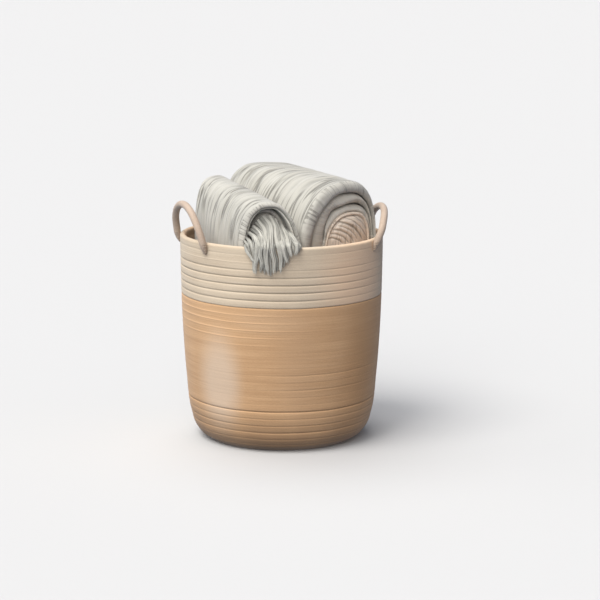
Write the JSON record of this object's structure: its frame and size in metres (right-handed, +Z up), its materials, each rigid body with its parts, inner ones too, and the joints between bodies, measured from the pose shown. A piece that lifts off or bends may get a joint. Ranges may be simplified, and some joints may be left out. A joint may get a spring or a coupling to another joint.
{
  "type": "basket of towels: rope basket with folded towels",
  "caption": "Round coiled-rope storage basket with rope handles, holding folded grey throw towels with a fringe and a tan towel.",
  "frame": {"origin": "on the floor, at the middle of the basket's round foot", "axes": "+Z up; -Y to the front, the side over which the fringe hangs; +X to the right as seen from the front"},
  "size_m": [0.3767, 0.3647, 0.4705],
  "materials": {
    "pale_rope": "matt cotton rope, sewn in a coil",
    "tan_rope": "matt tan rope, sewn in a coil",
    "handle_rope": "matt covered rope",
    "grey_cloth": "soft woven cotton, matt",
    "tan_cloth": "soft woven cotton, matt"
  },
  "bodies": {
    "root": {"basket_band": "pale_rope", "basket_body": "tan_rope", "basket_floor": "tan_rope", "handle_left": "handle_rope", "handle_right": "handle_rope", "towel_back": "grey_cloth", "towel_tan": "tan_cloth", "towel_front": "grey_cloth", "towel_front_folds": "grey_cloth", "towel_front_fringe": "grey_cloth"}
  },
  "joints": []
}
